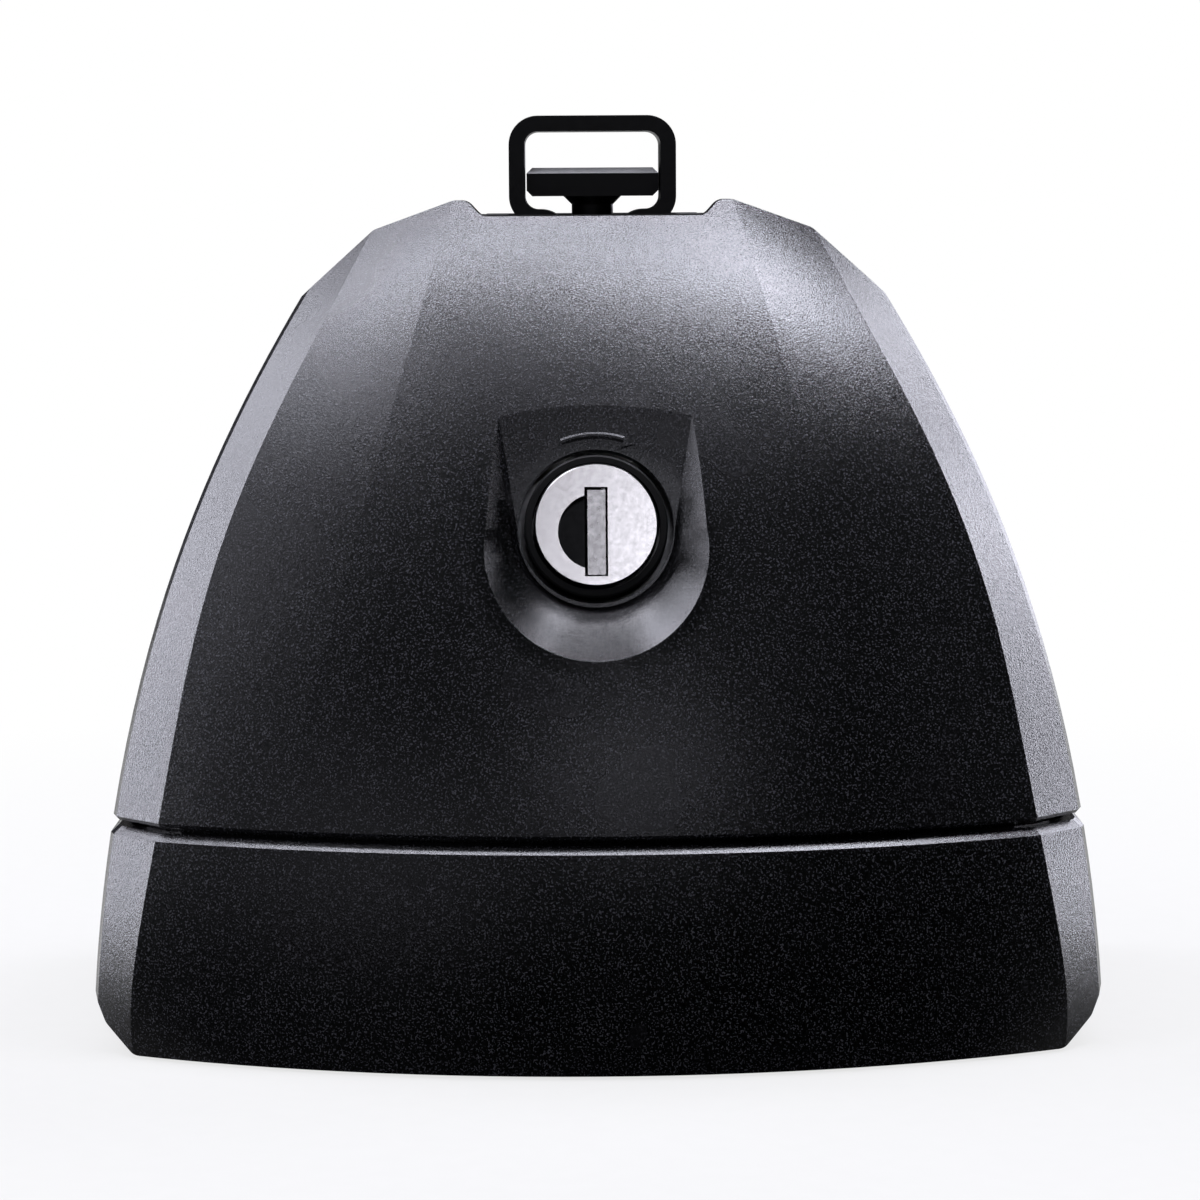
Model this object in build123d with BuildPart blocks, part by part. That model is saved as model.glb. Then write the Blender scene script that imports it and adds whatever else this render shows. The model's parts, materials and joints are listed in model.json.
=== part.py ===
from build123d import *
from math import atan2, cos, degrees, radians, sin, sqrt
import os

os.makedirs("parts", exist_ok=True)

# Roof bar foot, millimetres. X is along the side of the car, Y runs along the bar to the back, Z is up.
# The front with the lock faces -Y. The origin is on the roof under the middle of the foot.

# Outer form, one row per level: height, front, half width of the front face, half width over all,
# extra set-back of the side panels, back
LEVELS = [
    (0.0, -43.0, 62.3, 68.4, 0.1, 43.0),
    (31.0, -41.0, 58.6, 65.5, 0.1, 43.0),
    (54.0, -34.3, 54.2, 60.6, 0.15, 42.4),
    (74.0, -25.6, 48.1, 53.8, 0.3, 41.6),
    (92.0, -15.0, 39.8, 45.4, 1.1, 40.8),
    (105.0, -4.4, 33.2, 38.1, 2.2, 40.0),
    (118.0, 9.2, 26.0, 30.0, 3.2, 39.2),
]
FRONT_R = 147.0
CREASE_TOP = 18.3
CREASE_SPREAD = 0.282
BEVEL_SLOPE = 0.98
EDGE_IN = 0.6
EDGE_LONG = 2.0
BACK_BEVEL = 9.0
WALL = 2.6
WALL_GROWTH = 0.35
ROOF_T = 3.1
RIB_X = 34.0
RIB_T = 1.8
RIB_LOW = 9.5
RIB_H = 7.0

# Top outline and seams
SKIRT_FOOT = 0.4
CORNER_LOW = (4.1, 3.7)
CORNER_HIGH = (6.3, 8.6)
SHOULDER = (30.7, 109.6)
SHOULDER_OUT = (72.2, 71.8)
HORN_OUT = (19.6, 113.6)
HORN_IN = (17.6, 113.6)
SEAT_EDGE = (15.6, 111.4)
OUTLINE_R = 2.0
SKIRT_TOP = 30.3
SEAM = 0.9
SKIRT_CHAMFER = 1.0
COVER_CHAMFER = 0.5
PARTING_LOW = (0.0, 32.0)
PARTING_HIGH = (13.0, 112.0)
PARTING_GAP = 0.8
LIP_H = 4.0
LIP_T = 2.0
LIP_FIT = 0.8
POCKET_W = 12.0
POCKET_H = 52.0
POCKET_PITCH = 17.0
POCKET_DEPTH = 1.2
GUSSET_LONG = 17.0
GUSSET_T = 2.0
GUSSET_YS = (-8.0, 22.0)

# Floor stack from the roof upwards
PAD_H = 6.0
PLATE_T = 3.0
FLOOR_T = 3.0
STEEL = 3.0
ROOF_BOLT_Y = -6.0
ROOF_BOLT_R = 4.25
FLOOR_HOLE_R = 11.0
PAD_HOLE_R = 7.5
PAD_INSET = 9.5
GROOVE_W = 3.0
GROOVE_H = 3.0
GROOVE_XS = (-42.0, -28.0, 28.0, 42.0)
PLATE_X = 96.0
PLATE_Y = 64.0
PLATE_R = 14.0
PLATE_MID_Y = 3.0

# Support bracket and saddle
LEG_IN = 20.0
SADDLE_TOP = SEAT_EDGE[1] + 0.1
SADDLE_T = 3.9
SADDLE_BACK = 38.0
LOOP_BED = 1.5
RIDGE = 1.2
RIDGE_YS = (28.5, 31.0, 33.5)
BRACKET_TOP = SADDLE_TOP - SADDLE_T
BRACKET_FRONT = -22.0
TOP_FRONT = 7.5
BRACKET_BACK = 35.0
FLANGE_OUT = 40.0
LEG_WINDOW = (20.0, 44.0)
LEG_WINDOW_H = 40.0
LEG_WINDOW_W = 14.0
SLOT_X = 15.2
SLOT_Y = 15.4
RIVET_R = 2.5
RIVET_HEAD_R = 4.2
RIVET_HEAD_T = 1.8
RIVET_X = 32.0
RIVET_YS = (-12.0, 26.0)
RIVETS = [(x, y) for x in (-RIVET_X, RIVET_X) for y in RIVET_YS]

# Loop and T-bolt
BOLT_Y = 18.0
STRIP_T = 2.2
STRIP_W = 14.0
STRIP_BEND = 3.0
HOOK_DROP = 12.5
HOOK_LONG = 5.0
LOOP_HALF = 11.8
LOOP_RISE = 13.9
STEM_R = 2.95
HEAD_RISE = 2.6
HEAD_T = 4.0
HEAD_D = 13.0
HEAD_EDGE = 0.8
EYE_HALF = 3.3
EYE_R = 5.6
GAP = 0.3

# Tightening
PIVOT_Y = 6.5
PIVOT_Z = 72.0
NUT_DROP = 24.0
NUT_ARM_R = 8.0
SCREW_Z = PIVOT_Z - NUT_DROP
ANCHOR_BACK = -11.0
ANCHOR_T = 4.0
ANCHOR_LOW = 38.0
ANCHOR_TAB = 12.0
CATCH_TOP = 57.0
ROCKER_HALF = 8.0
BOSS_R = 6.5
WASHER_T = 1.6
WASHER_R = 6.0
SCREW_LONG = 34.0
SCREW_HEAD_R = 5.0
SCREW_HEAD_T = 6.0
HEX_DEPTH = 3.4
CLIP_R = 6.0
CLIP_T = 1.0
PIN_GROOVE_R = 2.2
PIN_R = 3.0
EYE_PIN_R = 2.5
NUT_R = 4.7
SCREW_R = 2.95
HEX_AF = 5.0

# Lock, set square to the floor of the recess, tilted up
LOCK_TILT = 13.0
LOCK_Y = -22.4
LOCK_Z = 70.4
RECESS_R = 10.5
RECESS_V = -0.4
RECESS_FLARE = 0.16
RECESS_DRAFT = 45.5
RECESS_SKIN = 0.6
LOCK_HOLE_R = 10.4
FACE_R = 8.3
FACE_TOP = 1.6
FACE_LOW = -2.4
FACE_EDGE = 0.25
BEZEL_TOP = 0.4
BEZEL_EDGE = 0.25
MOON_R = 5.1
MOON_DEPTH = 2.8
SLOT_W = 3.1
SLOT_LONG = 12.0
SLOT_V = -0.9
FLAP_U = 1.05
FLAP_S = 0.3
FLAP_T = 1.1
FLAP_W = 2.4
FLAP_PIN_R = 0.45
PLUG_R = 6.1
COLLAR_T = 2.1
COLLAR_BACK = 1.5
BOSS_ROOT = 1.0
SCREW_SKIN = 1.6
BARREL_R = 8.4
EARS = 14.0
EAR_R = 3.4
EAR_T = 2.0
EAR_HOLE_R = 1.3
WAFERS = 5
WAFER_PITCH = 2.2
WAFER_T = 1.0
BARREL_END = -16.0
TANG = 5.0
CAM_REACH = 15.0
CAM_R = 5.6
CAM_T = 2.0

lean = degrees(atan2(PARTING_HIGH[0] - PARTING_LOW[0], PARTING_HIGH[1] - PARTING_LOW[1]))
part_dir = Vector(0, cos(radians(lean)), -sin(radians(lean)))
part_front = Plane(Vector(0, PARTING_LOW[0], PARTING_LOW[1]) - part_dir * (PARTING_GAP / 2), z_dir=part_dir)
part_back = Plane(Vector(0, PARTING_LOW[0], PARTING_LOW[1]) + part_dir * (PARTING_GAP / 2), z_dir=part_dir)
lock_out = Vector(0, -cos(radians(LOCK_TILT)), sin(radians(LOCK_TILT)))
lock_plane = Plane(Vector(0, LOCK_Y, LOCK_Z), x_dir=(1, 0, 0), z_dir=lock_out)
slab_floor = PAD_H + PLATE_T
bracket_foot = slab_floor + FLOOR_T
leg_out = LEG_IN + STEEL
form_top = LEVELS[-1][0]


def front_sag(half):
    return FRONT_R - sqrt(FRONT_R**2 - half**2)


def level_at(height):
    low = max(row for row in LEVELS if row[0] <= height)
    high = min((row for row in LEVELS if row[0] > height), default=low)
    share = (height - low[0]) / (high[0] - low[0])
    return tuple(a + (b - a) * share for a, b in zip(low, high))


def section(row, inset):
    z, front, face, half, setback, back = row
    crease = CREASE_TOP + (form_top - z) * CREASE_SPREAD
    middle = (crease + face) / 2
    corner = (face, front + front_sag(face) + setback)
    fold = (crease, front + front_sag(crease))
    between = (middle, front + front_sag(middle) + setback * 0.45)
    flip = lambda p: (-p[0], p[1])
    edge = (half - EDGE_IN, corner[1] + (half - EDGE_IN - face) * BEVEL_SLOPE)
    side = (half, edge[1] + EDGE_LONG)
    rear = (half, back - BACK_BEVEL)
    tail = (half - BACK_BEVEL, back)
    with BuildSketch(Plane.XY.offset(z)) as sk:
        with BuildLine():
            ThreePointArc(flip(fold), (0, front), fold)
            ThreePointArc(fold, between, corner)
            Polyline(corner, edge, side, rear, tail, flip(tail))
            Polyline(flip(tail), flip(rear), flip(side), flip(edge), flip(corner))
            ThreePointArc(flip(corner), flip(between), flip(fold))
        make_face()
        if inset:
            offset(amount=-inset, kind=Kind.INTERSECTION, mode=Mode.REPLACE)
    return sk.sketch


def form(inset, outline):
    with BuildPart() as body:
        for row in LEVELS:
            add(section(row, inset * (1 + (row[0] / form_top) ** 2 * WALL_GROWTH)))
        loft()
        with BuildSketch(Plane.XZ):
            with BuildLine():
                FilletPolyline(*outline, radius=OUTLINE_R, close=True)
            make_face()
        extrude(amount=100, both=True, mode=Mode.INTERSECT)
    return body.part


def both_sides(points):
    return points + [(-x, z) for x, z in reversed(points)]


corner = LEVELS[0][2]
corner_cut = [(corner + x, SKIRT_FOOT + z) for x, z in ((0, 0), CORNER_LOW, CORNER_HIGH)]
outer_outline = both_sides([*corner_cut, SHOULDER_OUT, SHOULDER, HORN_OUT, HORN_IN, SEAT_EDGE])
inner_wide = SHOULDER_OUT[0] + WALL
inner_outline = both_sides([
    (inner_wide, -PAD_H), (inner_wide, SHOULDER_OUT[1] - 2 * WALL - ROOF_T),
    (SHOULDER[0] - WALL / 2, SHOULDER[1] - ROOF_T), (leg_out + 1, SEAT_EDGE[1] - ROOF_T)])
outer = form(0, outer_outline)
inner = form(WALL, inner_outline)


# Recess for the lock: a U open at the top, tapered outwards
def recess(radius, depth):
    rise = 4 * radius
    top = radius + rise * RECESS_FLARE
    middle = lock_plane.from_local_coords(Vector(0, RECESS_V, -depth))
    with BuildPart() as tool:
        with BuildSketch(Plane(middle, x_dir=(1, 0, 0), z_dir=lock_out)):
            with BuildLine():
                ThreePointArc((-radius, 0), (0, -radius), (radius, 0))
                Polyline((radius, 0), (top, rise), (-top, rise), (-radius, 0))
            make_face()
        extrude(amount=1.5 * radius + depth, taper=-RECESS_DRAFT)
    return tool.part


# Ring that follows the form at one level
def ring(height, outside, inside, low, high):
    with BuildPart() as band:
        with BuildSketch(Plane.XY.offset(low)):
            add(section(level_at(height), outside).moved(Location((0, 0, -height))))
            if inside:
                add(section(level_at(height), inside).moved(Location((0, 0, -height))), mode=Mode.SUBTRACT)
        extrude(amount=high - low)
    return band.part


recess_cut = recess(RECESS_R, 0)
recess_back = recess(RECESS_R + RECESS_SKIN, WALL)
seat_cut_x = 2 * SEAT_EDGE[0] + GAP
cover_foot = SKIRT_TOP + SEAM
ears = [(-EARS, 0), (EARS, 0)]
collar_s = FACE_LOW - COLLAR_BACK
ear_s = collar_s - COLLAR_T
barrel_s = ear_s - EAR_T

with BuildPart() as cover_ribs:
    with Locations(*[(x, 0, cover_foot + RIB_LOW) for x in (-RIB_X, RIB_X)]):
        Box(RIB_T, 2 * PLATE_Y, form_top, align=(Align.CENTER, Align.CENTER, Align.MIN))
    add(inner.moved(Location((0, RIB_H, 0))), mode=Mode.SUBTRACT)

with BuildPart() as cover_hollow:
    add(inner)
    add(recess_back, mode=Mode.SUBTRACT)
    add(cover_ribs.part, mode=Mode.SUBTRACT)

# Front cover
with BuildPart() as front_cover:
    add(outer)
    split(bisect_by=Plane.XY.offset(cover_foot), keep=Keep.TOP)
    chamfer(front_cover.faces().sort_by(Axis.Z)[0].outer_wire().edges(), length=COVER_CHAMFER)
    split(bisect_by=part_front, keep=Keep.BOTTOM)
    add(cover_hollow.part, mode=Mode.SUBTRACT)
    with BuildSketch(lock_plane.offset(ear_s)):
        with Locations(*ears):
            Circle(EAR_R - 0.2)
    extrude(amount=-ear_s - BOSS_ROOT)
    add(recess_cut, mode=Mode.SUBTRACT)
    with BuildSketch(lock_plane.offset(-LOCK_HOLE_R)):
        Circle(LOCK_HOLE_R)
    extrude(amount=LOCK_HOLE_R + WALL, mode=Mode.SUBTRACT)
    with BuildSketch(lock_plane.offset(barrel_s)):
        with Locations(*ears):
            Circle(EAR_HOLE_R - 0.05)
    extrude(amount=-barrel_s - SCREW_SKIN, mode=Mode.SUBTRACT)
    with Locations((0, TOP_FRONT - 1, BRACKET_TOP - WALL)):
        Box(seat_cut_x, PLATE_Y, form_top, align=(Align.CENTER, Align.MIN, Align.MIN), mode=Mode.SUBTRACT)
front_cover.part.label = "front_cover"
export_step(front_cover.part, "parts/front_cover.step")

# Foot body: skirt, floor, lip under the cover and rear housing
with BuildPart() as rear_housing:
    add(outer)
    split(bisect_by=Plane.XY.offset(SKIRT_TOP - WALL), keep=Keep.TOP)
    split(bisect_by=part_back, keep=Keep.TOP)

lip_z = cover_foot + LIP_H
lip_out = WALL + LIP_FIT
lip_in = lip_out + LIP_T
shelf_low = SKIRT_TOP - 2 * LIP_T - SKIRT_CHAMFER
with BuildPart() as cover_lip:
    add(ring(lip_z, lip_out, lip_in, shelf_low, lip_z))
    split(bisect_by=part_back, keep=Keep.BOTTOM)

with BuildPart() as back_pockets:
    with BuildSketch(Plane.XZ.offset(-PLATE_Y)):
        with Locations((0, cover_foot + POCKET_H / 2 + LIP_H)):
            with GridLocations(POCKET_PITCH, 1, 4, 1):
                RectangleRounded(POCKET_W, POCKET_H, WALL)
    extrude(amount=PLATE_Y / 2)
    add(outer.moved(Location((0, -POCKET_DEPTH, 0))), mode=Mode.SUBTRACT)

gusset_out = LEVELS[1][3] - 0.1
gusset_low = bracket_foot - FLOOR_T / 6
with BuildPart() as foot_body:
    add(outer)
    split(bisect_by=Plane.XY.offset(SKIRT_TOP), keep=Keep.BOTTOM)
    rim = foot_body.faces().sort_by(Axis.Z)[-1].outer_wire().edges()
    chamfer(rim, length=SKIRT_CHAMFER)
    add(rear_housing.part)
    add(inner, mode=Mode.SUBTRACT)
    add(ring(slab_floor, WALL * 0.6, 0, slab_floor, slab_floor + FLOOR_T))
    add(ring(shelf_low, WALL * 0.6, lip_in, shelf_low, shelf_low + LIP_T))
    add(cover_lip.part)
    for x in (gusset_out - GUSSET_LONG / 2, GUSSET_LONG / 2 - gusset_out):
        with Locations(*[(x, y, gusset_low) for y in GUSSET_YS]):
            Box(GUSSET_LONG, GUSSET_T, shelf_low - gusset_low, align=(Align.CENTER, Align.CENTER, Align.MIN))
    with BuildSketch(Plane.XY.offset(slab_floor)):
        with Locations((0, ROOF_BOLT_Y)):
            Circle(FLOOR_HOLE_R)
        with Locations(*RIVETS):
            Circle(RIVET_R)
    extrude(amount=FLOOR_T, mode=Mode.SUBTRACT)
    with Locations((0, TOP_FRONT - 1, BRACKET_TOP - 0.2)):
        Box(seat_cut_x, PLATE_Y, form_top, align=(Align.CENTER, Align.MIN, Align.MIN), mode=Mode.SUBTRACT)
    # The rear top is level with the seat: only the cover has horns
    with Locations((0, TOP_FRONT - 1, SEAT_EDGE[1])):
        top_wide = 2 * SHOULDER[0]
        Box(top_wide, PLATE_Y, form_top, align=(Align.CENTER, Align.MIN, Align.MIN), mode=Mode.SUBTRACT)
    add(back_pockets.part, mode=Mode.SUBTRACT)
foot_body.part.label = "foot_body"
export_step(foot_body.part, "parts/foot_body.step")

# Rubber pad on the roof
with BuildPart() as roof_pad:
    add(ring(PAD_H / 2, PAD_INSET, 0, 0, PAD_H))
    with BuildSketch():
        with Locations((0, ROOF_BOLT_Y)):
            Circle(PAD_HOLE_R)
    extrude(amount=PAD_H, mode=Mode.SUBTRACT)
    with Locations(*[(x, 0, 0) for x in GROOVE_XS]):
        Box(GROOVE_W, 2 * PLATE_Y, GROOVE_H, mode=Mode.SUBTRACT)
roof_pad.part.label = "roof_pad"
export_step(roof_pad.part, "parts/roof_pad.step")

# Base plate with the hole for the roof bolt
with BuildPart() as base_plate:
    with BuildSketch(Plane.XY.offset(PAD_H)):
        with Locations((0, PLATE_MID_Y)):
            RectangleRounded(PLATE_X, PLATE_Y, PLATE_R)
        with Locations((0, ROOF_BOLT_Y)):
            Circle(ROOF_BOLT_R, mode=Mode.SUBTRACT)
        with Locations(*RIVETS):
            Circle(RIVET_R, mode=Mode.SUBTRACT)
    extrude(amount=PLATE_T)
base_plate.part.label = "base_plate"
export_step(base_plate.part, "parts/base_plate.step")

# Support bracket, a folded hat section
hat_points = both_sides([
    (LEG_IN, BRACKET_TOP - STEEL), (LEG_IN, bracket_foot), (FLANGE_OUT, bracket_foot),
    (FLANGE_OUT, bracket_foot + STEEL), (leg_out, bracket_foot + STEEL), (leg_out, BRACKET_TOP)])
with BuildPart() as support_bracket:
    with BuildSketch(Plane.XZ.offset(-BRACKET_BACK)) as hat:
        Polygon(*hat_points, align=None)
        folds = hat.vertices().filter_by(lambda v: abs(v.X) < FLANGE_OUT - 1)
        outside = folds.filter_by(lambda v: (abs(v.X) > LEG_IN + 1) == (v.Z > PIVOT_Z))
        inside = folds.filter_by(lambda v: (abs(v.X) > LEG_IN + 1) != (v.Z > PIVOT_Z))
        fillet(outside, radius=STEEL * 1.5)
        inside_at = [Vector(*v) for v in inside]
        sharp = hat.vertices().filter_by(lambda v: min((Vector(*v) - p).length for p in inside_at) < 0.01)
        fillet(sharp, radius=STEEL / 2)
    extrude(amount=BRACKET_BACK - BRACKET_FRONT)
    with BuildSketch(Plane.YZ):
        Polygon(
            (TOP_FRONT, SADDLE_TOP), (BRACKET_BACK, SADDLE_TOP), (BRACKET_BACK, PAD_H),
            (BRACKET_FRONT, PAD_H), (BRACKET_FRONT, CATCH_TOP),
            (TOP_FRONT, BRACKET_TOP - NUT_DROP / 2), align=None)
    extrude(amount=PLATE_X, both=True, mode=Mode.INTERSECT)
    with BuildSketch(Plane.XY.offset(BRACKET_TOP)):
        with Locations((0, BOLT_Y)):
            RectangleRounded(SLOT_X, SLOT_Y, 2)
    extrude(amount=-2 * STEEL, mode=Mode.SUBTRACT)
    with BuildSketch(Plane.YZ):
        with Locations((PIVOT_Y, PIVOT_Z)):
            Circle(PIN_R)
        with Locations(LEG_WINDOW):
            SlotOverall(LEG_WINDOW_H, LEG_WINDOW_W, rotation=90)
        with Locations((ANCHOR_BACK - ANCHOR_T / 2, SCREW_Z)):
            Rectangle(ANCHOR_T, ANCHOR_TAB)
    extrude(amount=PLATE_X, both=True, mode=Mode.SUBTRACT)
    with BuildSketch(Plane.XY.offset(bracket_foot)):
        with Locations(*RIVETS):
            Circle(RIVET_R)
    extrude(amount=STEEL, mode=Mode.SUBTRACT)
support_bracket.part.label = "support_bracket"
export_step(support_bracket.part, "parts/support_bracket.step")

# Rivets through flange, floor and plate
with BuildPart() as bracket_rivets:
    with BuildSketch(Plane.XY.offset(PAD_H)):
        with Locations(*RIVETS):
            Circle(RIVET_R)
    extrude(amount=bracket_foot + STEEL - PAD_H)
    with Locations(*[(x, y, bracket_foot + STEEL) for x, y in RIVETS]):
        Cone(RIVET_HEAD_R, RIVET_HEAD_R * 0.67, RIVET_HEAD_T, align=(Align.CENTER, Align.CENTER, Align.MIN))
bracket_rivets.part.label = "bracket_rivets"
export_step(bracket_rivets.part, "parts/bracket_rivets.step")

# Saddle pad under the bar, with a bed for the lips of the loop
with BuildPart() as saddle_pad:
    with BuildSketch(Plane.XY.offset(BRACKET_TOP)):
        with Locations((0, (TOP_FRONT + SADDLE_BACK) / 2)):
            RectangleRounded(2 * SEAT_EDGE[0] - GAP, SADDLE_BACK - TOP_FRONT, SADDLE_T / 3)
        with Locations((0, BOLT_Y)):
            RectangleRounded(SLOT_X, SLOT_Y, SADDLE_T / 2, mode=Mode.SUBTRACT)
    extrude(amount=SADDLE_T)
    with Locations((0, BOLT_Y, SADDLE_TOP - LOOP_BED)):
        bed_x = 2 * (LOOP_HALF + GAP)
        Box(bed_x, SLOT_Y, SADDLE_T, align=(Align.CENTER, Align.CENTER, Align.MIN), mode=Mode.SUBTRACT)
    with Locations(*[(0, y, SADDLE_TOP) for y in RIDGE_YS]):
        Box(PLATE_X, RIDGE, RIDGE, mode=Mode.SUBTRACT)
saddle_pad.part.label = "saddle_pad"
export_step(saddle_pad.part, "parts/saddle_pad.step")

# Loop of bent strip
hook_z = SADDLE_TOP - HOOK_DROP
loop_top = SADDLE_TOP + LOOP_RISE
side_x = LOOP_HALF - STRIP_T / 2
lip_mid = SADDLE_TOP - LOOP_BED + STRIP_T / 2
tail_x = STEM_R + GAP + STRIP_T / 2
strip_path = both_sides([
    (tail_x + HOOK_LONG, hook_z), (tail_x, hook_z), (tail_x, lip_mid), (side_x, lip_mid),
    (side_x, loop_top - STRIP_T / 2)])
with BuildPart() as bar_loop:
    with BuildLine(Plane.XZ.offset(-BOLT_Y)) as strip_line:
        FilletPolyline(*strip_path, radius=STRIP_BEND)
    with BuildSketch(Plane(strip_line.line @ 0, x_dir=(0, 1, 0), z_dir=strip_line.line % 0)):
        Rectangle(STRIP_W, STRIP_T)
    sweep()
bar_loop.part.label = "bar_loop"
export_step(bar_loop.part, "parts/bar_loop.step")

# Hammer-head bolt with an eye at its lower end
head_half = LOOP_HALF - STRIP_T - GAP
head_z = SADDLE_TOP + HEAD_RISE
with BuildPart() as t_bolt:
    with Locations((0, BOLT_Y, head_z)):
        Box(2 * head_half, HEAD_D, HEAD_T, align=(Align.CENTER, Align.CENTER, Align.MIN))
    chamfer(t_bolt.edges().filter_by(Axis.Y), length=HEAD_EDGE)
    chamfer(t_bolt.edges().filter_by(Axis.X).group_by(Axis.Z)[-1], length=HEAD_EDGE)
    with Locations((0, BOLT_Y, head_z)):
        Cone(STEM_R, STEM_R + 1.2, 1.2, align=(Align.CENTER, Align.CENTER, Align.MAX))
        Cylinder(STEM_R, head_z - PIVOT_Z - EYE_R, align=(Align.CENTER, Align.CENTER, Align.MAX))
    with BuildSketch(Plane.YZ):
        with Locations((BOLT_Y, PIVOT_Z)):
            Circle(EYE_R)
        with Locations((BOLT_Y, PIVOT_Z + 0.8 * EYE_R)):
            Rectangle(1.43 * EYE_R, 1.6 * EYE_R)
        with Locations((BOLT_Y, PIVOT_Z)):
            Circle(EYE_PIN_R, mode=Mode.SUBTRACT)
    extrude(amount=EYE_HALF, both=True)
t_bolt.part.label = "t_bolt"
export_step(t_bolt.part, "parts/t_bolt.step")

with BuildPart() as t_bolt_pin:
    with BuildSketch(Plane.YZ):
        with Locations((BOLT_Y, PIVOT_Z)):
            Circle(EYE_PIN_R)
    extrude(amount=ROCKER_HALF, both=True)
t_bolt_pin.part.label = "t_bolt_pin"
export_step(t_bolt_pin.part, "parts/t_bolt_pin.step")

# Rocker lever between the screw and the bolt
with BuildPart() as rocker_lever:
    for end, radius in (((BOLT_Y, PIVOT_Z), EYE_R), ((PIVOT_Y, SCREW_Z), NUT_ARM_R)):
        with BuildSketch(Plane.YZ):
            with Locations((PIVOT_Y, PIVOT_Z)):
                Circle(BOSS_R)
            with Locations(end):
                Circle(radius)
            make_hull()
        extrude(amount=ROCKER_HALF, both=True)
    with BuildSketch(Plane.YZ):
        with Locations((PIVOT_Y, PIVOT_Z)):
            Circle(BOSS_R)
    extrude(amount=LEG_IN - 0.4, both=True)
    with BuildSketch(Plane.YZ):
        with Locations((PIVOT_Y, PIVOT_Z)):
            Circle(PIN_R + GAP)
        with Locations((BOLT_Y, PIVOT_Z)):
            Circle(EYE_PIN_R + GAP + 0.1)
        with Locations((PIVOT_Y, SCREW_Z)):
            Circle(NUT_R + GAP + 0.2)
    extrude(amount=LEG_IN, both=True, mode=Mode.SUBTRACT)
    with Locations((0, BOLT_Y - EYE_R - 0.6, PIVOT_Z)):
        eye_w = 2 * (EYE_HALF + GAP)
        Box(eye_w, NUT_DROP, NUT_DROP, align=(Align.CENTER, Align.MIN, Align.CENTER), mode=Mode.SUBTRACT)
    with Locations((0, PIVOT_Y, SCREW_Z - 2)):
        Box(2 * SCREW_R + 1.6, 2 * NUT_DROP, 2 * SCREW_R + 3.4 + 4, mode=Mode.SUBTRACT)
rocker_lever.part.label = "rocker_lever"
export_step(rocker_lever.part, "parts/rocker_lever.step")

# Pivot pin with a head and a groove for its clip
pin_axis = Axis((0, PIVOT_Y, PIVOT_Z), (1, 0, 0))
groove_x = leg_out + GAP
pin_end = groove_x + 2.7 * CLIP_T
pin_head = -leg_out - 2 * CLIP_T
with BuildPart() as rocker_pin:
    with BuildSketch(Plane((0, PIVOT_Y, PIVOT_Z))):
        with BuildLine():
            Polyline(
                (pin_head, 0), (pin_head, 1.5 * PIN_R), (-leg_out, 1.5 * PIN_R), (-leg_out, PIN_R),
                (groove_x, PIN_R), (groove_x, PIN_GROOVE_R), (groove_x + 1.2 * CLIP_T, PIN_GROOVE_R),
                (groove_x + 1.2 * CLIP_T, PIN_R), (pin_end, PIN_R), (pin_end, 0), close=True)
        make_face()
    revolve(axis=pin_axis)
rocker_pin.part.label = "rocker_pin"
export_step(rocker_pin.part, "parts/rocker_pin.step")

with BuildPart() as pin_clip:
    with BuildSketch(Plane.YZ.offset(groove_x + 0.1 * CLIP_T)):
        with Locations((PIVOT_Y, PIVOT_Z)):
            Circle(CLIP_R)
            Circle(PIN_GROOVE_R + 0.05, mode=Mode.SUBTRACT)
        with Locations((PIVOT_Y, PIVOT_Z)):
            Rectangle(1.9 * PIN_GROOVE_R, 2 * CLIP_R, align=(Align.CENTER, Align.MAX), mode=Mode.SUBTRACT)
    extrude(amount=CLIP_T)
pin_clip.part.label = "pin_clip"
export_step(pin_clip.part, "parts/pin_clip.step")

# Anchor plate between the legs, with the catch edge for the lock cam
with BuildPart() as screw_anchor:
    with BuildSketch(Plane.XZ.offset(-ANCHOR_BACK)):
        with Locations((0, (ANCHOR_LOW + CATCH_TOP) / 2)):
            Rectangle(2 * LEG_IN, CATCH_TOP - ANCHOR_LOW)
        with Locations((0, SCREW_Z)):
            Rectangle(2 * leg_out, ANCHOR_TAB)
            Circle(SCREW_R + 0.4, mode=Mode.SUBTRACT)
    extrude(amount=ANCHOR_T)
    chamfer(screw_anchor.edges().filter_by(Axis.X).group_by(Axis.Z)[-1], length=0.8)
screw_anchor.part.label = "screw_anchor"
export_step(screw_anchor.part, "parts/screw_anchor.step")

# Tension screw, washer and barrel nut
bearing = ANCHOR_BACK - ANCHOR_T
head_back = bearing - WASHER_T - 0.05
with BuildPart() as screw_washer:
    with BuildSketch(Plane.XZ.offset(-bearing)):
        with Locations((0, SCREW_Z)):
            Circle(WASHER_R)
            Circle(SCREW_R + GAP, mode=Mode.SUBTRACT)
    extrude(amount=WASHER_T)
screw_washer.part.label = "screw_washer"
export_step(screw_washer.part, "parts/screw_washer.step")

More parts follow.
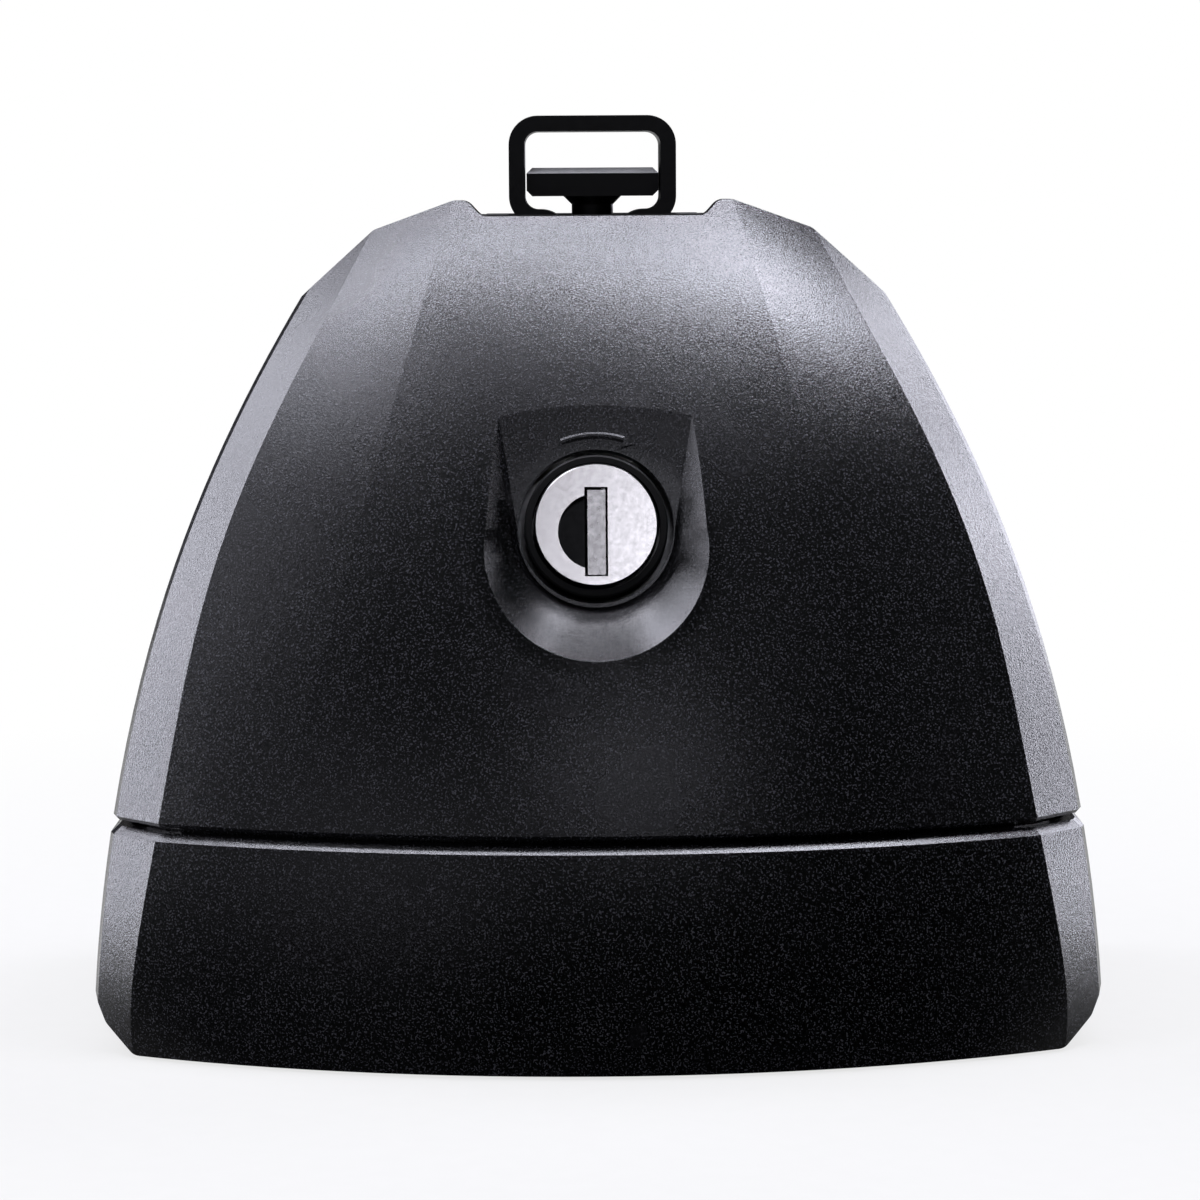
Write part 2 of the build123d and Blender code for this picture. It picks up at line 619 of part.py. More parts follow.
with BuildPart() as tension_screw:
    with BuildSketch(Plane.XZ.offset(-head_back)):
        with Locations((0, SCREW_Z)):
            Circle(SCREW_HEAD_R)
    extrude(amount=SCREW_HEAD_T)
    chamfer(tension_screw.edges().sort_by(Axis.Y)[0], length=0.6)
    with BuildSketch(Plane.XZ.offset(SCREW_HEAD_T - head_back)):
        with Locations((0, SCREW_Z)):
            RegularPolygon(HEX_AF / 2, 6, major_radius=False)
    extrude(amount=-HEX_DEPTH, mode=Mode.SUBTRACT)
    with BuildSketch(Plane.XZ.offset(-head_back)):
        with Locations((0, SCREW_Z)):
            Circle(SCREW_R)
    extrude(amount=-SCREW_LONG)
    chamfer(tension_screw.edges().sort_by(Axis.Y)[-1], length=0.8)
tension_screw.part.label = "tension_screw"
export_step(tension_screw.part, "parts/tension_screw.step")

with BuildPart() as barrel_nut:
    with BuildSketch(Plane.YZ):
        with Locations((PIVOT_Y, SCREW_Z)):
            Circle(NUT_R)
    extrude(amount=ROCKER_HALF, both=True)
    with BuildSketch(Plane.XZ.offset(-PIVOT_Y)):
        with Locations((0, SCREW_Z)):
            Circle(SCREW_R + GAP)
    extrude(amount=2 * NUT_R, both=True, mode=Mode.SUBTRACT)
barrel_nut.part.label = "barrel_nut"
export_step(barrel_nut.part, "parts/barrel_nut.step")

# Lock barrel with ears, screwed to the back of the recess
collar_r = LOCK_HOLE_R - 0.8
with BuildPart() as lock_housing:
    with BuildSketch(lock_plane.offset(collar_s)):
        Circle(collar_r)
    extrude(amount=-COLLAR_T)
    with BuildSketch(lock_plane.offset(ear_s)):
        Circle(collar_r + 0.2)
        with Locations(*ears):
            Circle(EAR_R)
        make_hull()
        with Locations(*ears):
            Circle(EAR_HOLE_R, mode=Mode.SUBTRACT)
    extrude(amount=-EAR_T)
    with BuildSketch(lock_plane.offset(BARREL_END)):
        Circle(BARREL_R)
    extrude(amount=barrel_s - BARREL_END)
    with BuildSketch(lock_plane):
        Circle(PLUG_R + GAP)
    extrude(amount=BARREL_END, mode=Mode.SUBTRACT)
lock_housing.part.label = "lock_housing"
export_step(lock_housing.part, "parts/lock_housing.step")

with BuildPart() as lock_screws:
    with BuildSketch(lock_plane.offset(barrel_s)):
        with Locations(*ears):
            Circle(EAR_R - 0.6)
    extrude(amount=-0.9 * EAR_T)
    with BuildSketch(lock_plane.offset(barrel_s)):
        with Locations(*ears):
            Circle(EAR_HOLE_R - 0.1)
    extrude(amount=3 * EAR_T)
lock_screws.part.label = "lock_screws"
export_step(lock_screws.part, "parts/lock_screws.step")

with BuildPart() as lock_bezel:
    with BuildSketch(lock_plane.offset(collar_s)):
        Circle(collar_r)
        Circle(FACE_R + GAP, mode=Mode.SUBTRACT)
    extrude(amount=BEZEL_TOP - collar_s)
    brim = lock_bezel.faces().sort_by(Axis((0, 0, 0), lock_out))[-1]
    chamfer(brim.outer_wire().edges(), length=BEZEL_EDGE)
lock_bezel.part.label = "lock_bezel"
export_step(lock_bezel.part, "parts/lock_bezel.step")

# Plug with keyway and wafers
key_high = 0.8 * SLOT_LONG
key_v = SLOT_V + (SLOT_LONG - key_high) / 4
wafer_s = [FACE_LOW - 2 * WAFER_T - WAFER_PITCH * i for i in range(WAFERS)]
wafer_w = PLUG_R + GAP
with BuildPart() as lock_plug:
    with BuildSketch(lock_plane.offset(FACE_LOW)):
        Circle(PLUG_R)
    extrude(amount=BARREL_END - FACE_LOW)
    with BuildSketch(lock_plane.offset(FACE_LOW)):
        with Locations((0, key_v)):
            Rectangle(SLOT_W, key_high)
    extrude(amount=BARREL_END + 2 - FACE_LOW, mode=Mode.SUBTRACT)
    for s in wafer_s:
        with BuildSketch(lock_plane.offset(s)):
            Rectangle(wafer_w + 0.2, 3 * PLUG_R)
        extrude(amount=-1.2 * WAFER_T, mode=Mode.SUBTRACT)
    with BuildSketch(lock_plane.offset(BARREL_END)):
        Rectangle(TANG, TANG)
    extrude(amount=-1.2 * CAM_T)
    with BuildSketch(lock_plane.offset(BARREL_END - 1.5 * CAM_T)):
        Circle(0.3 * TANG)
    extrude(amount=2.3 * CAM_T, mode=Mode.SUBTRACT)
lock_plug.part.label = "lock_plug"
export_step(lock_plug.part, "parts/lock_plug.step")

with BuildPart() as lock_wafers:
    for s in wafer_s:
        with BuildSketch(lock_plane.offset(s - 0.1 * WAFER_T)):
            Rectangle(wafer_w, 1.8 * PLUG_R)
            with Locations((0, key_v)):
                Rectangle(SLOT_W - 0.5, 0.68 * key_high, mode=Mode.SUBTRACT)
        extrude(amount=-WAFER_T)
lock_wafers.part.label = "lock_wafers"
export_step(lock_wafers.part, "parts/lock_wafers.step")

# Lock face with the key slot and the half-moon pocket beside it
flap_at = lock_plane.from_local_coords(Vector(FLAP_U, SLOT_V, FLAP_S))
flap_plane = Plane(flap_at, x_dir=(1, 0, 0), z_dir=lock_plane.y_dir)
flap_half = SLOT_LONG / 2 - GAP
with BuildPart() as lock_face:
    with BuildSketch(lock_plane.offset(FACE_LOW)):
        Circle(FACE_R)
    extrude(amount=FACE_TOP - FACE_LOW)
    front = lock_face.faces().sort_by(Axis((0, 0, 0), lock_out))[-1]
    chamfer(front.outer_wire().edges(), length=FACE_EDGE)
    with BuildSketch(lock_plane.offset(FACE_TOP)):
        with Locations((0, SLOT_V)):
            Circle(MOON_R)
            Rectangle(2 * MOON_R, 3 * MOON_R, align=(Align.MIN, Align.CENTER), mode=Mode.SUBTRACT)
    extrude(amount=-MOON_DEPTH, mode=Mode.SUBTRACT)
    with BuildSketch(lock_plane.offset(FACE_TOP)):
        with Locations((0, SLOT_V)):
            Rectangle(SLOT_W, SLOT_LONG)
    extrude(amount=2 * (FACE_LOW - FACE_TOP), mode=Mode.SUBTRACT)
    with BuildSketch(flap_plane):
        Circle(FLAP_PIN_R + GAP)
    extrude(amount=flap_half + 1.3, both=True, mode=Mode.SUBTRACT)
lock_face.part.label = "lock_face"
export_step(lock_face.part, "parts/lock_face.step")

with BuildPart() as key_shutter:
    with BuildSketch(flap_plane):
        with Locations((0.2 - FLAP_W / 2, 0)):
            Rectangle(FLAP_W, FLAP_T)
    extrude(amount=flap_half, both=True)
    with BuildSketch(flap_plane):
        Circle(FLAP_PIN_R)
    extrude(amount=flap_half + 1.0, both=True)
key_shutter.part.label = "key_shutter"
export_step(key_shutter.part, "parts/key_shutter.step")

# Cam that turns behind the catch, and its screw
cam_back = BARREL_END - 1.2 * CAM_T
with BuildPart() as lock_cam:
    with BuildSketch(lock_plane.offset(BARREL_END - 0.1 * CAM_T)):
        Circle(CAM_R)
        with Locations((0.8 * CAM_REACH, 0)):
            Circle(0.2 * CAM_REACH)
        make_hull()
        Rectangle(TANG + 0.1, TANG + 0.1, mode=Mode.SUBTRACT)
    extrude(amount=-CAM_T)
lock_cam.part.label = "lock_cam"
export_step(lock_cam.part, "parts/lock_cam.step")

with BuildPart() as cam_screw:
    with BuildSketch(lock_plane.offset(cam_back)):
        Circle(0.72 * TANG)
    extrude(amount=-0.9 * CAM_T)
    with BuildSketch(lock_plane.offset(cam_back)):
        Circle(0.3 * TANG - 0.05)
    extrude(amount=1.8 * CAM_T)
cam_screw.part.label = "cam_screw"
export_step(cam_screw.part, "parts/cam_screw.step")
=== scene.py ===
import json
import math

import bpy
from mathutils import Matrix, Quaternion, Vector


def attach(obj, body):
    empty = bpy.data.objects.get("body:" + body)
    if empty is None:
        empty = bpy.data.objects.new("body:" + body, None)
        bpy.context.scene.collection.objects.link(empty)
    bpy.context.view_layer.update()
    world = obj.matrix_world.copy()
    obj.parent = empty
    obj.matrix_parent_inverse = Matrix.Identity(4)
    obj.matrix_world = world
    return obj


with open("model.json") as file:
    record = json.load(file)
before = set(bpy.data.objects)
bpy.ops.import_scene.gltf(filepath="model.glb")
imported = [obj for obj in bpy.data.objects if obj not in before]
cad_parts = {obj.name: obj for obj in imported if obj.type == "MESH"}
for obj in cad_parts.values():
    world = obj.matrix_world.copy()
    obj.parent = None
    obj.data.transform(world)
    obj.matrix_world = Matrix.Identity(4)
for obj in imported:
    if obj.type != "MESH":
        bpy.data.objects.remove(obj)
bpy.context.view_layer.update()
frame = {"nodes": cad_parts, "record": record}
nodes = frame["nodes"]
scene = bpy.context.scene
scene.view_settings.view_transform = "Standard"

# Lengths are in metres and angles in degrees, unless a name says otherwise
MM = 0.001
WHITE = (1.0, 1.0, 1.0, 1.0)
ZERO_TO_ONE = (0.0, 1.0)

# Camera fitted to the photo's view: where it stands seen from its aim, its roll and its lens
CAM_AZ = -0.45
CAM_EL = 6.473
CAM_ROLL = -0.333
CAM_DIST = 0.520
CAM_AIM = Vector((0.000632, 0.0, 0.057964))
CAM_LENS_MM = 111.52
CAM_SENSOR_MM = 36.0
CAM_CLIP = (0.01, 20.0)

# Lock plane, as in the part: middle of the lock on the floor of the recess, tilted up
LOCK_AT = Vector((0.0, -22.4, 70.4)) * MM
LOCK_TILT_RAD = math.radians(13.0)
LOCK_UP = Vector((0.0, math.sin(LOCK_TILT_RAD), math.cos(LOCK_TILT_RAD)))
LOCK_OUT = Vector((0.0, -math.cos(LOCK_TILT_RAD), math.sin(LOCK_TILT_RAD)))

# Lock face: its height over that plane, and how far below it the painted shade, near black,
# turns to bright nickel
FACE_TOP = 1.6 * MM
FACE_FADE = (0.12 * MM, 0.02 * MM)

# Round patch of smoother grain in the recess: its middle, and from where to where it fades
RECESS_AT = LOCK_AT - LOCK_UP * 5.0 * MM
RECESS_EDGE = (15.0 * MM, 17.0 * MM)

# Raised arrow over the lock: an arc with a head, and sides that slope up from its root
ARROW_R = 12.3 * MM
ARROW_FROM = 112.0
ARROW_TO = 72.0
ARROW_STEPS = 20
ARROW_WIDE = 1.0 * MM
ARROW_HEAD = 2.8 * MM
ARROW_POINT = 1.7 * MM
ARROW_TIP = 0.02 * MM
ARROW_ROOT = -0.05 * MM
ARROW_HIGH = 0.3 * MM
ARROW_SLOPE = 0.35 * MM

# Levels of a noise between which its ramp runs
NOISE_BAND = (0.3, 0.7)

# Grained plastic: pairs are for the recess and for the rest of the moulding
GRAIN_SCALE = 4000.0
UNSEEN_SCALE = 2.5 * GRAIN_SCALE
PATCH_SCALE = 40.0
SPECK_BAND = (0.54, 0.72)
GRAIN_BLACK = (0.0004, 0.0004, 0.0005)
GRAIN_SPECKS = (0.020, 0.020, 0.022), (0.035, 0.035, 0.040)
GRAIN_ROUGH = (0.21, 0.24), (0.24, 0.28)
GRAIN_SCATTER = (0.20, 0.36)
GRAIN_BUMP = (0.32, 0.50)
GRAIN_DEEP = 0.05 * MM

# Coated steel: upward part of a normal over which a painted highlight takes over from the
# coat, and the levels of that painted highlight
HIGHLIGHT_UP = (0.4, 0.7)
COAT_TONES = (0.0015, 0.004)
TOP_HIGHLIGHT_DARK = 0.8
STRIP_TOP_HIGHLIGHT = 0.012
BOLT_TOP_HIGHLIGHT = 0.45

# Studio: strength of the white for each kind of ray
WORLD_SEEN = 1.0
WORLD_MIRRORED = 0.01
WORLD_LIGHT = 0.05

# Floor: what the camera sees whitens from one distance to another, and what is mirrored
# brightens with y + FLOOR_ASIDE * |x|; each is given as (from, to) and the two levels there
FLOOR_SIZE = 8.0
FLOOR_TONES = (0.30, 0.32)
FLOOR_FADE = (0.10, 0.30), (0.75, 1.0)
FLOOR_MIRROR = (-0.02, 0.06), (0.004, 1.0)
FLOOR_ASIDE = 0.35

# Soft lights: name, azimuth from the front to the right, elevation, distance, (width, height),
# level, and the point aimed at if it isn't LIGHT_AIM
LIGHT_AIM = Vector((0.0, 0.0, 0.07))
LIGHT_TINT = (0.88, 0.885, 1.0)
LIGHT_WATTS_PER_M2 = 4.0
TOP_LEFT_AIM = Vector((-0.205, 0.0, 0.07))
TOP_RIGHT_AIM = Vector((0.265, -0.05, 0.07))
LIGHTS = (
    ("top_left_light", 180.0, 90.0, 0.85, (0.47, 0.10), 26.5, TOP_LEFT_AIM),
    ("top_right_light", 180.0, 90.0, 0.85, (0.47, 0.20), 20.0, TOP_RIGHT_AIM),
    ("right_high_light", 93.0, 69.0, 0.90, (0.26, 0.11), 13.0),
    ("front_top_light", 0.0, 70.0, 0.85, (0.50, 0.16), 1.0),
    ("left_high_light", -116.0, 58.0, 0.80, (0.28, 0.26), 6.0),
    ("left_mid_light", -62.0, 58.0, 0.85, (0.25, 0.20), 6.2),
    ("left_up_light", -112.0, 36.0, 0.70, (0.32, 0.32), 6.2),
    ("left_light", -105.0, 12.0, 0.70, (0.30, 0.32), 8.6),
    ("left_low_light", -98.0, -3.7, 0.70, (0.32, 0.05), 14.0),
    ("right_up_light", 122.0, 38.0, 0.70, (0.19, 0.19), 10.0),
    ("right_mid_light", 109.0, 28.0, 0.70, (0.16, 0.16), 9.0),
    ("right_light", 108.0, 14.0, 0.70, (0.30, 0.32), 9.4),
    ("right_low_light", 101.0, -3.7, 0.70, (0.32, 0.05), 19.0),
    ("right_rim_light", 147.0, 15.0, 0.80, (0.25, 0.50), 3.0),
    ("key_light", -58.0, 35.0, 0.85, (0.25, 0.30), 1.3),
    ("left_side_light", -74.0, 12.0, 0.70, (0.22, 0.30), 4.5),
    ("fill_light", -28.0, 4.0, 0.85, (0.45, 0.35), 0.3),
    ("lock_card", 5.0, 18.5, 0.80, (0.13, 0.13), 3.2),
)


def direction(azimuth, elevation):
    """Unit vector away from the foot, azimuth from the front to the right."""
    az, el = math.radians(azimuth), math.radians(elevation)
    return Vector((math.sin(az) * math.cos(el), -math.cos(az) * math.cos(el), math.sin(el)))


def facing(out):
    """Rotation of a camera or light that looks back along a direction."""
    return (-out).to_track_quat("-Z", "Y")


def add_camera():
    back = direction(CAM_AZ, CAM_EL)
    data = bpy.data.cameras.new("camera")
    data.sensor_width = CAM_SENSOR_MM
    data.lens = CAM_LENS_MM
    data.clip_start, data.clip_end = CAM_CLIP
    cam = bpy.data.objects.new("camera", data)
    scene.collection.objects.link(cam)
    cam.location = CAM_AIM + back * CAM_DIST
    roll = Quaternion((0.0, 0.0, 1.0), math.radians(CAM_ROLL))
    cam.rotation_euler = (facing(back) @ roll).to_euler()
    scene.camera = cam


# Materials
class Shader:
    """A principled material, with a short call for each kind of node that drives it."""

    def __init__(self, name):
        self.mat = bpy.data.materials.new(name)
        self.mat.use_nodes = True
        self.tree = self.mat.node_tree
        self.bsdf = self.tree.nodes["Principled BSDF"]
        self.at = self.node("ShaderNodeTexCoord").outputs["Object"]

    def feed(self, socket, value):
        """Link a socket to the output of a node, or give it a constant."""
        if isinstance(value, bpy.types.NodeSocket):
            self.tree.links.new(value, socket)
        else:
            socket.default_value = value

    def fill(self, target, sockets):
        for key, value in sockets.items():
            self.feed(target.inputs[key.replace("_", " ")], value)

    def node(self, kind, **sockets):
        made = self.tree.nodes.new(kind)
        self.fill(made, sockets)
        return made

    def set(self, **sockets):
        self.fill(self.bsdf, sockets)

    def noise(self, scale, detail=2.0, rough=0.5):
        made = self.node(
            "ShaderNodeTexNoise", Vector=self.at, Scale=scale, Detail=detail, Roughness=rough)
        return made.outputs["Fac"]

    def ramp(self, value, dark, light, band=NOISE_BAND):
        """Level or colour that goes from dark to light over a band of the value."""
        made = self.node("ShaderNodeValToRGB", Fac=value)
        for element, place, level in zip(made.color_ramp.elements, band, (dark, light)):
            color = level if isinstance(level, tuple) else (level,) * 3
            element.position = place
            element.color = (*color, 1.0)
        return made.outputs["Color"]

    def span(self, value, source, target=ZERO_TO_ONE):
        """A value carried from one range to another."""
        made = self.node(
            "ShaderNodeMapRange", Value=value, From_Min=source[0], From_Max=source[1],
            To_Min=target[0], To_Max=target[1])
        return made.outputs["Result"]

    def mix(self, factor, first, second):
        made = self.node("ShaderNodeMix")
        made.data_type = "RGBA"
        self.fill(made, {"Factor": factor, "A": first, "B": second})
        return made.outputs["Result"]

    def vector_math(self, operation, *terms):
        made = self.node("ShaderNodeVectorMath")
        made.operation = operation
        for socket, term in zip(made.inputs, terms):
            self.feed(socket, term)
        return made

    def vector(self, operation, *terms):
        return self.vector_math(operation, *terms).outputs["Vector"]

    def measure(self, operation, *terms):
        """A number from one or two vectors."""
        return self.vector_math(operation, *terms).outputs["Value"]

    def normal(self):
        return self.node("ShaderNodeNewGeometry").outputs["Normal"]

    def bump(self, height, strength, distance):
        made = self.node("ShaderNodeBump", Height=height, Strength=strength, Distance=distance)
        return made.outputs["Normal"]

    def scatter(self, scale, amount):
        """Normals thrown about by a grain too fine to be seen."""
        grain = self.node("ShaderNodeTexNoise", Vector=self.at, Scale=scale, Detail=0.0)
        centred = self.vector("SUBTRACT", grain.outputs["Color"], (0.5, 0.5, 0.5))
        leaning = self.vector("ADD", self.vector("MULTIPLY", centred, amount), self.normal())
        return self.vector("NORMALIZE", leaning)


def grained_plastic(name):
    """Black moulding with a fine spark-eroded grain, smoother in the lock recess."""
    look = Shader(name)
    fine = look.noise(GRAIN_SCALE, detail=1.0)
    patch = look.noise(PATCH_SCALE)
    from_middle = look.vector("SUBTRACT", look.at, RECESS_AT)
    outward = look.vector("PROJECT", from_middle, LOCK_OUT)
    reach = look.measure("LENGTH", look.vector("SUBTRACT", from_middle, outward))
    outside = look.span(reach, RECESS_EDGE)
    specks = [look.ramp(fine, GRAIN_BLACK, pale, SPECK_BAND) for pale in GRAIN_SPECKS]
    rough = [look.ramp(patch, low, high) for low, high in GRAIN_ROUGH]
    bumpy = look.bump(fine, look.span(reach, RECESS_EDGE, GRAIN_BUMP), GRAIN_DEEP)
    scattered = look.scatter(UNSEEN_SCALE, look.span(reach, RECESS_EDGE, GRAIN_SCATTER))
    look.feed(bumpy.node.inputs["Normal"], scattered)
    look.set(
        Base_Color=look.mix(outside, *specks),
        Roughness=look.mix(outside, *rough),
        Normal=bumpy,
        Specular_IOR_Level=0.5)
    return look.mat


def rubber(name):
    look = Shader(name)
    fine = look.noise(700.0, detail=3.0, rough=0.6)
    look.set(
        Base_Color=look.ramp(fine, dark=(0.008, 0.008, 0.008), light=(0.014, 0.014, 0.013)),
        Roughness=look.ramp(fine, dark=0.75, light=0.9),
        Normal=look.bump(fine, strength=0.3, distance=0.1 * MM),
        Specular_IOR_Level=0.3)
    return look.mat


def coated_steel(name, top_highlight):
    """Black coat, with a painted highlight of the given level on faces that look up."""
    look = Shader(name)
    fine = look.noise(900.0, detail=4.0, rough=0.6)
    upward = look.node("ShaderNodeSeparateXYZ", Vector=look.normal()).outputs["Z"]
    coat = look.ramp(fine, *COAT_TONES)
    # Painted highlight: a lighter tone on faces that look up
    painted_top_highlight = look.ramp(fine, TOP_HIGHLIGHT_DARK * top_highlight, top_highlight)
    look.set(
        Base_Color=look.mix(look.span(upward, HIGHLIGHT_UP), coat, painted_top_highlight),
        Roughness=look.ramp(fine, dark=0.38, light=0.55),
        Normal=look.bump(fine, strength=0.3, distance=0.06 * MM),
        Specular_IOR_Level=0.25)
    return look.mat


def bare_metal(name, dark, light, smooth, rough):
    look = Shader(name)
    patch = look.noise(160.0, detail=5.0, rough=0.65)
    fine = look.noise(1400.0, detail=3.0, rough=0.6)
    look.set(
        Base_Color=look.ramp(patch, dark, light),
        Roughness=look.ramp(fine, smooth, rough),
        Normal=look.bump(fine, strength=0.12, distance=0.04 * MM),
        Metallic=1.0)
    return look.mat


def lock_nickel(name):
    """Satin nickel, with painted shade, near black, below the face: in the half-moon pocket
    and the key slot.
    """
    look = Shader(name)
    satin = look.noise(1500.0, detail=3.0, rough=0.6)
    patch = look.noise(220.0, detail=4.0, rough=0.6)
    top = LOCK_AT.dot(LOCK_OUT) + FACE_TOP
    height = look.measure("DOT_PRODUCT", look.at, LOCK_OUT)
    raised = look.span(height, [top - below for below in FACE_FADE])
    # Painted shade: near black below the top of the face, in the pocket and the slot
    painted_pocket_shade = look.ramp(patch, dark=(0.006, 0.006, 0.006), light=(0.012, 0.012, 0.012))
    bright = look.ramp(patch, dark=(0.62, 0.60, 0.58), light=(0.68, 0.66, 0.64))
    look.set(
        Base_Color=look.mix(raised, painted_pocket_shade, bright),
        Roughness=look.ramp(satin, dark=0.20, light=0.25),
        Normal=look.bump(satin, strength=0.05, distance=0.02 * MM),
        Metallic=1.0)
    return look.mat


def smooth_black(name):
    look = Shader(name)
    fine = look.noise(600.0, detail=3.0)
    look.set(
        Base_Color=look.ramp(fine, dark=(0.004, 0.004, 0.004), light=(0.007, 0.007, 0.007)),
        Roughness=look.ramp(fine, dark=0.40, light=0.50),
        Specular_IOR_Level=0.15)
    return look.mat


# Looks by material slot, then those of nodes that differ from their slot
SLOT_LOOKS = {
    "cover_plastic": grained_plastic("cover_plastic_look"),
    "body_plastic": grained_plastic("body_plastic_look"),
    "pad_rubber": rubber("pad_rubber_look"),
    # Loop and other coated steel: a faint painted highlight on faces that look up
    "coated_steel": coated_steel("coated_steel_look", STRIP_TOP_HIGHLIGHT),
    "plated_steel": bare_metal(
        "plated_steel_look", dark=(0.50, 0.50, 0.48), light=(0.62, 0.62, 0.60),
        smooth=0.30, rough=0.45),
    "lock_metal": lock_nickel("lock_metal_look"),
    "lock_cast": bare_metal(
        "lock_cast_look", dark=(0.42, 0.42, 0.42), light=(0.55, 0.55, 0.55),
        smooth=0.45, rough=0.60),
    "lock_ring": smooth_black("lock_ring_look"),
    "lock_brass": bare_metal(
        "lock_brass_look", dark=(0.60, 0.44, 0.20), light=(0.72, 0.55, 0.28),
        smooth=0.28, rough=0.40),
}
# Plug and wafers painted near black in place of their metal colour: painted shade in the key
# slot
PLUG_PAINTED_SHADE_LOOK = bare_metal(
    "lock_plug_painted_shade_look", dark=(0.02, 0.02, 0.02), light=(0.035, 0.033, 0.03),
    smooth=0.40, rough=0.55)
NODE_LOOKS = {
    # T-bolt: a stronger painted highlight on the top of its head
    "t_bolt": coated_steel("t_bolt_look", BOLT_TOP_HIGHLIGHT),
    "lock_plug": PLUG_PAINTED_SHADE_LOOK,
    "lock_wafers": PLUG_PAINTED_SHADE_LOOK,
    "key_shutter": bare_metal(
        "key_shutter_look", dark=(0.36, 0.35, 0.34), light=(0.44, 0.43, 0.42),
        smooth=0.20, rough=0.28),
}


def dress_cad():
    for entry in frame["record"]["subparts"]:
        name = entry["node"]
        materials = nodes[name].data.materials
        materials.clear()
        materials.append(NODE_LOOKS.get(name) or SLOT_LOOKS[entry["material_slot"]])


def add_arrow():
    """Arrow over the lock, a closed strip of four corners a row on the floor of the recess."""
    start, stop = math.radians(ARROW_FROM), math.radians(ARROW_TO)
    turns = [start + (stop - start) * i / ARROW_STEPS for i in range(ARROW_STEPS + 1)]
    rows = [(turn, ARROW_WIDE / 2) for turn in turns]
    rows += [(stop, ARROW_HEAD / 2), (stop - ARROW_POINT / ARROW_R, ARROW_TIP)]
    verts = []
    for turn, half in rows:
        crown = max(half - ARROW_SLOPE, ARROW_TIP)
        flat = Vector((math.cos(turn), 0.0, 0.0)) + LOCK_UP * math.sin(turn)
        corners = (
            (-half, ARROW_ROOT), (-crown, ARROW_HIGH), (crown, ARROW_HIGH), (half, ARROW_ROOT))
        for across, lift in corners:
            verts.append(LOCK_AT + flat * (ARROW_R + across) + LOCK_OUT * lift)
    # First corners of the row where the shaft ends, of the back of the head and of its tip
    neck, head, tip = (4 * (ARROW_STEPS + i) for i in range(3))
    faces = [(0, 1, 2, 3), (tip + 3, tip + 2, tip + 1, tip)]
    for a in range(0, tip, 4):
        b = a + 4
        faces += [(a, b, b + 1, a + 1), (a + 2, b + 2, b + 3, a + 3)]
    for a in range(0, neck, 4):
        b = a + 4
        faces += [(a + 1, b + 1, b + 2, a + 2), (a + 3, b + 3, b, a)]
    faces.append((head + 1, tip + 1, tip + 2, head + 2, neck + 2, neck + 1))
    faces.append((head + 3, tip + 3, tip, head, neck, neck + 3))
    mesh = bpy.data.meshes.new("turn_arrow")
    mesh.from_pydata(verts, [], faces)
    arrow = bpy.data.objects.new("turn_arrow", mesh)
    scene.collection.objects.link(arrow)
    arrow.data.materials.append(SLOT_LOOKS["cover_plastic"])
    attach(arrow, "cover")


# Studio: pale floor, soft lights, white for the camera
def by_ray(tree, camera, glossy, other):
    """Shader with one part for camera rays, one for mirrored rays and one for all others."""
    path = tree.nodes.new("ShaderNodeLightPath")
    shader = other
    for ray, own in (("Is Glossy Ray", glossy), ("Is Camera Ray", camera)):
        mixed = tree.nodes.new("ShaderNodeMixShader")
        tree.links.new(path.outputs[ray], mixed.inputs["Fac"])
        tree.links.new(shader, mixed.inputs[1])
        tree.links.new(own, mixed.inputs[2])
        shader = mixed.outputs[0]
    return shader


def background(tree, level):
    made = tree.nodes.new("ShaderNodeBackground")
    made.inputs["Color"].default_value = WHITE
    made.inputs["Strength"].default_value = level
    return made.outputs[0]


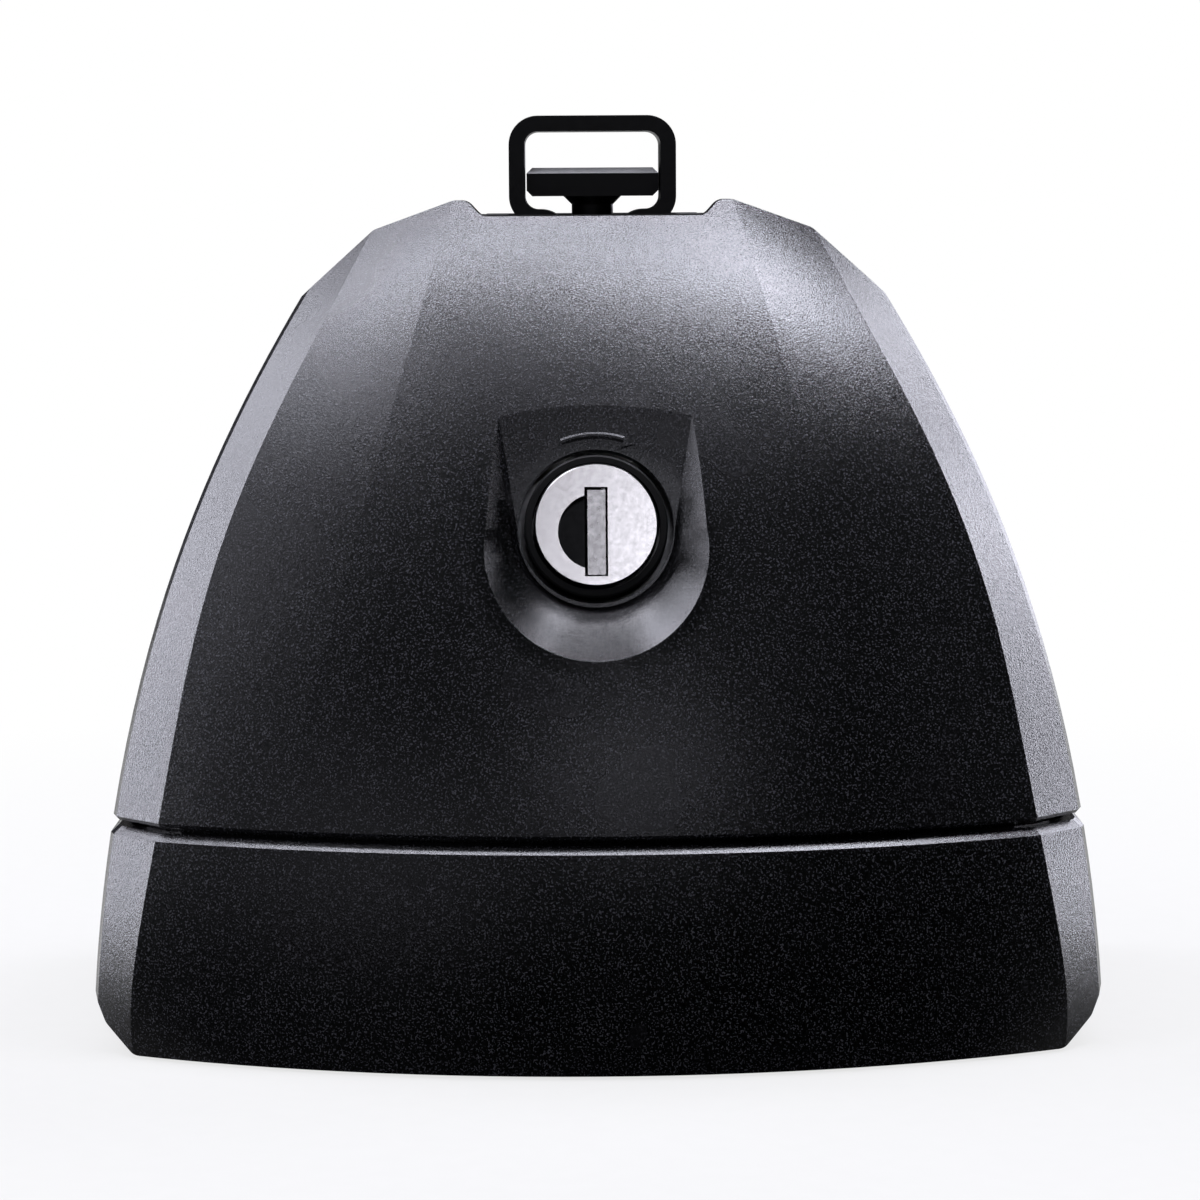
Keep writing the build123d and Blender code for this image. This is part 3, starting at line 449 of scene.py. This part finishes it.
def add_world():
    world = bpy.data.worlds.new("studio")
    world.use_nodes = True
    tree = world.node_tree
    tree.nodes.clear()
    out = tree.nodes.new("ShaderNodeOutputWorld")
    levels = (WORLD_SEEN, WORLD_MIRRORED, WORLD_LIGHT)
    shader = by_ray(tree, *[background(tree, level) for level in levels])
    tree.links.new(shader, out.inputs["Surface"])
    scene.world = world


def add_floor():
    bpy.ops.mesh.primitive_plane_add(size=FLOOR_SIZE, location=(0, 0, 0))
    floor = bpy.context.object
    floor.name = "floor"
    look = Shader("floor_paper")
    paper = look.bsdf.outputs[0]
    tone = look.ramp(look.noise(300.0, detail=3.0), *FLOOR_TONES)
    look.set(Base_Color=tone, Roughness=0.9, Specular_IOR_Level=0.1)
    back = look.vector("MULTIPLY", look.at, (0.0, 1.0, 0.0))
    aside = look.vector("MULTIPLY", look.vector("ABSOLUTE", look.at), (FLOOR_ASIDE, 0.0, 0.0))
    place = look.measure("DOT_PRODUCT", look.vector("ADD", back, aside), (1.0, 1.0, 1.0))
    mirrored = look.node(
        "ShaderNodeEmission", Color=WHITE, Strength=look.span(place, *FLOOR_MIRROR))
    glow = look.node("ShaderNodeEmission", Color=WHITE, Strength=1.0)
    whiter = look.span(look.measure("LENGTH", look.at), *FLOOR_FADE)
    seen = look.node("ShaderNodeMixShader", Fac=whiter)
    look.feed(seen.inputs[1], paper)
    look.feed(seen.inputs[2], glow.outputs[0])
    shader = by_ray(look.tree, seen.outputs[0], mirrored.outputs[0], paper)
    look.feed(look.tree.nodes["Material Output"].inputs["Surface"], shader)
    floor.data.materials.append(look.mat)


def softbox(name, azimuth, elevation, far, size, level, aim=LIGHT_AIM):
    """Area light in the given direction from its aim, which it looks at."""
    out = direction(azimuth, elevation)
    data = bpy.data.lights.new(name, "AREA")
    data.shape = "RECTANGLE"
    data.size, data.size_y = size
    data.energy = level * LIGHT_WATTS_PER_M2 * size[0] * size[1]
    data.color = LIGHT_TINT
    light = bpy.data.objects.new(name, data)
    scene.collection.objects.link(light)
    light.location = aim + out * far
    light.rotation_euler = facing(out).to_euler()


add_camera()
dress_cad()
add_arrow()
add_world()
add_floor()
for row in LIGHTS:
    softbox(*row)
